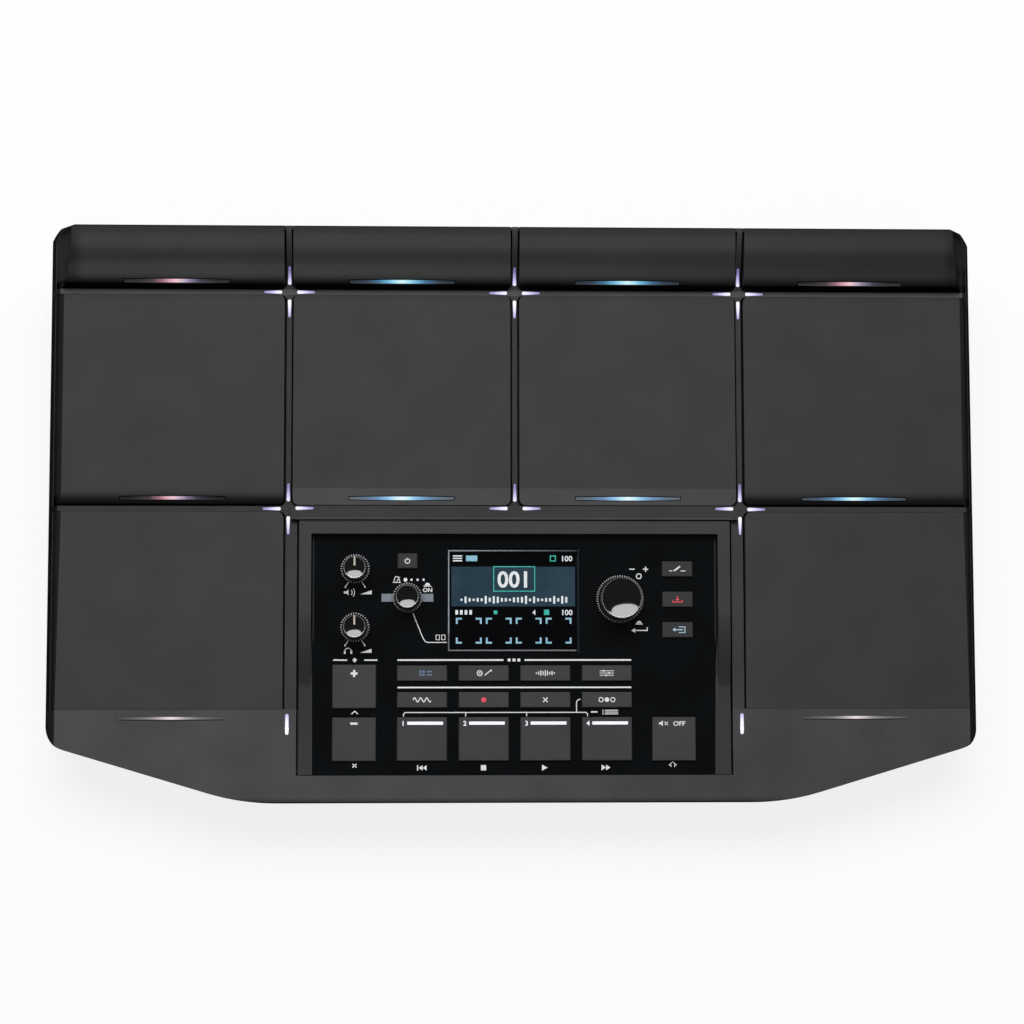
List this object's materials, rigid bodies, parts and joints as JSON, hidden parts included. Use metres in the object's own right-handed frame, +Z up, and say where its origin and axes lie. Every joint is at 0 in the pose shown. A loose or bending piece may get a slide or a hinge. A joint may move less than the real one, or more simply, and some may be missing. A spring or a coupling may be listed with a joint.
{
  "type": "electronic percussion pad",
  "caption": "Sloping table-top electronic percussion pad: rubber strike pads with light lenses around a sunk control panel with display, knobs and keys; sockets at the back.",
  "frame": {"origin": "on the table, under the middle of the case's box", "axes": "+X to the player's right, +Y to the back where the sockets are, +Z up"},
  "size_m": [0.466, 0.2885, 0.0776],
  "materials": {
    "case_plastic": "fine matt texture, dark grey",
    "base_plastic": "matt black",
    "hood_plastic": "smooth satin, dark grey",
    "panel_gloss": "polished black",
    "smoked_window": "clear smoked pane",
    "display_module": "colour display",
    "lamp_plastic": "milky light grey",
    "light_plastic": "milky clear, lit from below",
    "plate_steel": "zinc plated sheet",
    "foam": "closed-cell foam rubber",
    "sensor_film": "amber film",
    "white_board": "white circuit board",
    "green_board": "green circuit board",
    "black_plastic": "black moulding",
    "pot_metal": "pressed metal can",
    "shell_steel": "plated shell",
    "foot_rubber": "matt black rubber",
    "screw_steel": "black zinc",
    "insert_brass": "turned brass",
    "pad_rubber": "dark grey, fine crosshatch",
    "key_plastic": "satin dark grey",
    "knob_plastic": "glossy black",
    "rotor_plastic": "natural nylon"
  },
  "bodies": {
    "chassis": {"top_case": "case_plastic", "bottom_case": "base_plastic", "panel_hood": "hood_plastic", "control_panel": "panel_gloss", "display_window": "smoked_window", "display_module": "display_module", "metronome_lamp": "lamp_plastic", "cross_light_guides": "light_plastic", "pad_light_lenses": "light_plastic", "pad_plate": "plate_steel", "pad_cushions": "foam", "pad_sensors": "sensor_film", "led_boards": "white_board", "panel_board": "green_board", "tact_switches": "black_plastic", "pot_and_encoder_bodies": "pot_metal", "main_board": "green_board", "jack_board": "green_board", "audio_jacks": "black_plastic", "midi_sockets": "black_plastic", "usb_socket": "shell_steel", "dc_inlet": "black_plastic", "rubber_feet": "foot_rubber", "case_screws": "screw_steel", "stand_inserts": "insert_brass"},
    "bar_pad_1": {"bar_pad_1": "pad_rubber"},
    "bar_pad_2": {"bar_pad_2": "pad_rubber"},
    "bar_pad_3": {"bar_pad_3": "pad_rubber"},
    "bar_pad_4": {"bar_pad_4": "pad_rubber"},
    "upper_pad_1": {"upper_pad_1": "pad_rubber"},
    "upper_pad_2": {"upper_pad_2": "pad_rubber"},
    "upper_pad_3": {"upper_pad_3": "pad_rubber"},
    "upper_pad_4": {"upper_pad_4": "pad_rubber"},
    "lower_pad_left": {"lower_pad_left": "pad_rubber"},
    "lower_pad_right": {"lower_pad_right": "pad_rubber"},
    "power_button": {"power_button": "key_plastic"},
    "plus_button": {"plus_button": "key_plastic"},
    "minus_button": {"minus_button": "key_plastic"},
    "sound_off_button": {"sound_off_button": "key_plastic"},
    "edit_button": {"edit_button": "key_plastic"},
    "write_button": {"write_button": "key_plastic"},
    "exit_button": {"exit_button": "key_plastic"},
    "mode_button_1": {"mode_button_1": "key_plastic"},
    "mode_button_2": {"mode_button_2": "key_plastic"},
    "mode_button_3": {"mode_button_3": "key_plastic"},
    "mode_button_4": {"mode_button_4": "key_plastic"},
    "function_button_1": {"function_button_1": "key_plastic"},
    "function_button_2": {"function_button_2": "key_plastic"},
    "function_button_3": {"function_button_3": "key_plastic"},
    "function_button_4": {"function_button_4": "key_plastic"},
    "loop_button_1": {"loop_button_1": "key_plastic"},
    "loop_button_2": {"loop_button_2": "key_plastic"},
    "loop_button_3": {"loop_button_3": "key_plastic"},
    "loop_button_4": {"loop_button_4": "key_plastic"},
    "main_volume_knob": {"main_volume_knob": "knob_plastic"},
    "phones_knob": {"phones_knob": "knob_plastic"},
    "metronome_knob": {"metronome_knob": "knob_plastic"},
    "value_knob": {"value_knob": "knob_plastic"},
    "metronome_rotor": {"metronome_rotor": "rotor_plastic"},
    "value_rotor": {"value_rotor": "rotor_plastic"}
  },
  "joints": [
    {"name": "bar_pad_1_press", "type": "slide", "parent": "chassis", "child": "bar_pad_1", "axis": [0, 0.0958, -0.9954], "range_m": [0, 0.0005], "stiffness_N_per_m": 6000, "springref_m": -0.0006},
    {"name": "bar_pad_2_press", "type": "slide", "parent": "chassis", "child": "bar_pad_2", "axis": [0, 0.0958, -0.9954], "range_m": [0, 0.0005], "stiffness_N_per_m": 6000, "springref_m": -0.0006},
    {"name": "bar_pad_3_press", "type": "slide", "parent": "chassis", "child": "bar_pad_3", "axis": [0, 0.0958, -0.9954], "range_m": [0, 0.0005], "stiffness_N_per_m": 6000, "springref_m": -0.0006},
    {"name": "bar_pad_4_press", "type": "slide", "parent": "chassis", "child": "bar_pad_4", "axis": [0, 0.0958, -0.9954], "range_m": [0, 0.0005], "stiffness_N_per_m": 6000, "springref_m": -0.0006},
    {"name": "upper_pad_1_press", "type": "slide", "parent": "chassis", "child": "upper_pad_1", "axis": [0, 0.0958, -0.9954], "range_m": [0, 0.0005], "stiffness_N_per_m": 6000, "springref_m": -0.0006},
    {"name": "upper_pad_2_press", "type": "slide", "parent": "chassis", "child": "upper_pad_2", "axis": [0, 0.0958, -0.9954], "range_m": [0, 0.0005], "stiffness_N_per_m": 6000, "springref_m": -0.0006},
    {"name": "upper_pad_3_press", "type": "slide", "parent": "chassis", "child": "upper_pad_3", "axis": [0, 0.0958, -0.9954], "range_m": [0, 0.0005], "stiffness_N_per_m": 6000, "springref_m": -0.0006},
    {"name": "upper_pad_4_press", "type": "slide", "parent": "chassis", "child": "upper_pad_4", "axis": [0, 0.0958, -0.9954], "range_m": [0, 0.0005], "stiffness_N_per_m": 6000, "springref_m": -0.0006},
    {"name": "lower_pad_left_press", "type": "slide", "parent": "chassis", "child": "lower_pad_left", "axis": [0, 0.0958, -0.9954], "range_m": [0, 0.0005], "stiffness_N_per_m": 6000, "springref_m": -0.0006},
    {"name": "lower_pad_right_press", "type": "slide", "parent": "chassis", "child": "lower_pad_right", "axis": [0, 0.0958, -0.9954], "range_m": [0, 0.0005], "stiffness_N_per_m": 6000, "springref_m": -0.0006},
    {"name": "power_button_press", "type": "slide", "parent": "chassis", "child": "power_button", "axis": [0, 0.0958, -0.9954], "range_m": [0, 0.0006], "stiffness_N_per_m": 300, "springref_m": -0.002},
    {"name": "plus_button_press", "type": "slide", "parent": "chassis", "child": "plus_button", "axis": [0, 0.0958, -0.9954], "range_m": [0, 0.0006], "stiffness_N_per_m": 300, "springref_m": -0.002},
    {"name": "minus_button_press", "type": "slide", "parent": "chassis", "child": "minus_button", "axis": [0, 0.0958, -0.9954], "range_m": [0, 0.0006], "stiffness_N_per_m": 300, "springref_m": -0.002},
    {"name": "sound_off_button_press", "type": "slide", "parent": "chassis", "child": "sound_off_button", "axis": [0, 0.0958, -0.9954], "range_m": [0, 0.0006], "stiffness_N_per_m": 300, "springref_m": -0.002},
    {"name": "edit_button_press", "type": "slide", "parent": "chassis", "child": "edit_button", "axis": [0, 0.0958, -0.9954], "range_m": [0, 0.0006], "stiffness_N_per_m": 300, "springref_m": -0.002},
    {"name": "write_button_press", "type": "slide", "parent": "chassis", "child": "write_button", "axis": [0, 0.0958, -0.9954], "range_m": [0, 0.0006], "stiffness_N_per_m": 300, "springref_m": -0.002},
    {"name": "exit_button_press", "type": "slide", "parent": "chassis", "child": "exit_button", "axis": [0, 0.0958, -0.9954], "range_m": [0, 0.0006], "stiffness_N_per_m": 300, "springref_m": -0.002},
    {"name": "mode_button_1_press", "type": "slide", "parent": "chassis", "child": "mode_button_1", "axis": [0, 0.0958, -0.9954], "range_m": [0, 0.0006], "stiffness_N_per_m": 300, "springref_m": -0.002},
    {"name": "mode_button_2_press", "type": "slide", "parent": "chassis", "child": "mode_button_2", "axis": [0, 0.0958, -0.9954], "range_m": [0, 0.0006], "stiffness_N_per_m": 300, "springref_m": -0.002},
    {"name": "mode_button_3_press", "type": "slide", "parent": "chassis", "child": "mode_button_3", "axis": [0, 0.0958, -0.9954], "range_m": [0, 0.0006], "stiffness_N_per_m": 300, "springref_m": -0.002},
    {"name": "mode_button_4_press", "type": "slide", "parent": "chassis", "child": "mode_button_4", "axis": [0, 0.0958, -0.9954], "range_m": [0, 0.0006], "stiffness_N_per_m": 300, "springref_m": -0.002},
    {"name": "function_button_1_press", "type": "slide", "parent": "chassis", "child": "function_button_1", "axis": [0, 0.0958, -0.9954], "range_m": [0, 0.0006], "stiffness_N_per_m": 300, "springref_m": -0.002},
    {"name": "function_button_2_press", "type": "slide", "parent": "chassis", "child": "function_button_2", "axis": [0, 0.0958, -0.9954], "range_m": [0, 0.0006], "stiffness_N_per_m": 300, "springref_m": -0.002},
    {"name": "function_button_3_press", "type": "slide", "parent": "chassis", "child": "function_button_3", "axis": [0, 0.0958, -0.9954], "range_m": [0, 0.0006], "stiffness_N_per_m": 300, "springref_m": -0.002},
    {"name": "function_button_4_press", "type": "slide", "parent": "chassis", "child": "function_button_4", "axis": [0, 0.0958, -0.9954], "range_m": [0, 0.0006], "stiffness_N_per_m": 300, "springref_m": -0.002},
    {"name": "loop_button_1_press", "type": "slide", "parent": "chassis", "child": "loop_button_1", "axis": [0, 0.0958, -0.9954], "range_m": [0, 0.0006], "stiffness_N_per_m": 300, "springref_m": -0.002},
    {"name": "loop_button_2_press", "type": "slide", "parent": "chassis", "child": "loop_button_2", "axis": [0, 0.0958, -0.9954], "range_m": [0, 0.0006], "stiffness_N_per_m": 300, "springref_m": -0.002},
    {"name": "loop_button_3_press", "type": "slide", "parent": "chassis", "child": "loop_button_3", "axis": [0, 0.0958, -0.9954], "range_m": [0, 0.0006], "stiffness_N_per_m": 300, "springref_m": -0.002},
    {"name": "loop_button_4_press", "type": "slide", "parent": "chassis", "child": "loop_button_4", "axis": [0, 0.0958, -0.9954], "range_m": [0, 0.0006], "stiffness_N_per_m": 300, "springref_m": -0.002},
    {"name": "main_volume_turn", "type": "hinge", "parent": "chassis", "child": "main_volume_knob", "pos_m": [-0.079, -0.02986, 0.05114], "axis": [0, -0.0958, 0.9954], "range_deg": [-150, 150]},
    {"name": "phones_turn", "type": "hinge", "parent": "chassis", "child": "phones_knob", "pos_m": [-0.079, -0.05863, 0.04837], "axis": [0, -0.0958, 0.9954], "range_deg": [-150, 150]},
    {"name": "metronome_turn", "type": "hinge", "parent": "chassis", "child": "metronome_rotor", "pos_m": [-0.0532, -0.04399, 0.04978], "axis": [0, -0.0958, 0.9954], "continuous": true},
    {"name": "metronome_push", "type": "slide", "parent": "metronome_rotor", "child": "metronome_knob", "axis": [0, 0.0958, -0.9954], "range_m": [0, 0.0005], "stiffness_N_per_m": 400, "springref_m": -0.002},
    {"name": "value_turn", "type": "hinge", "parent": "chassis", "child": "value_rotor", "pos_m": [0.052, -0.04469, 0.04972], "axis": [0, -0.0958, 0.9954], "continuous": true},
    {"name": "value_push", "type": "slide", "parent": "value_rotor", "child": "value_knob", "axis": [0, 0.0958, -0.9954], "range_m": [0, 0.0005], "stiffness_N_per_m": 400, "springref_m": -0.002}
  ]
}
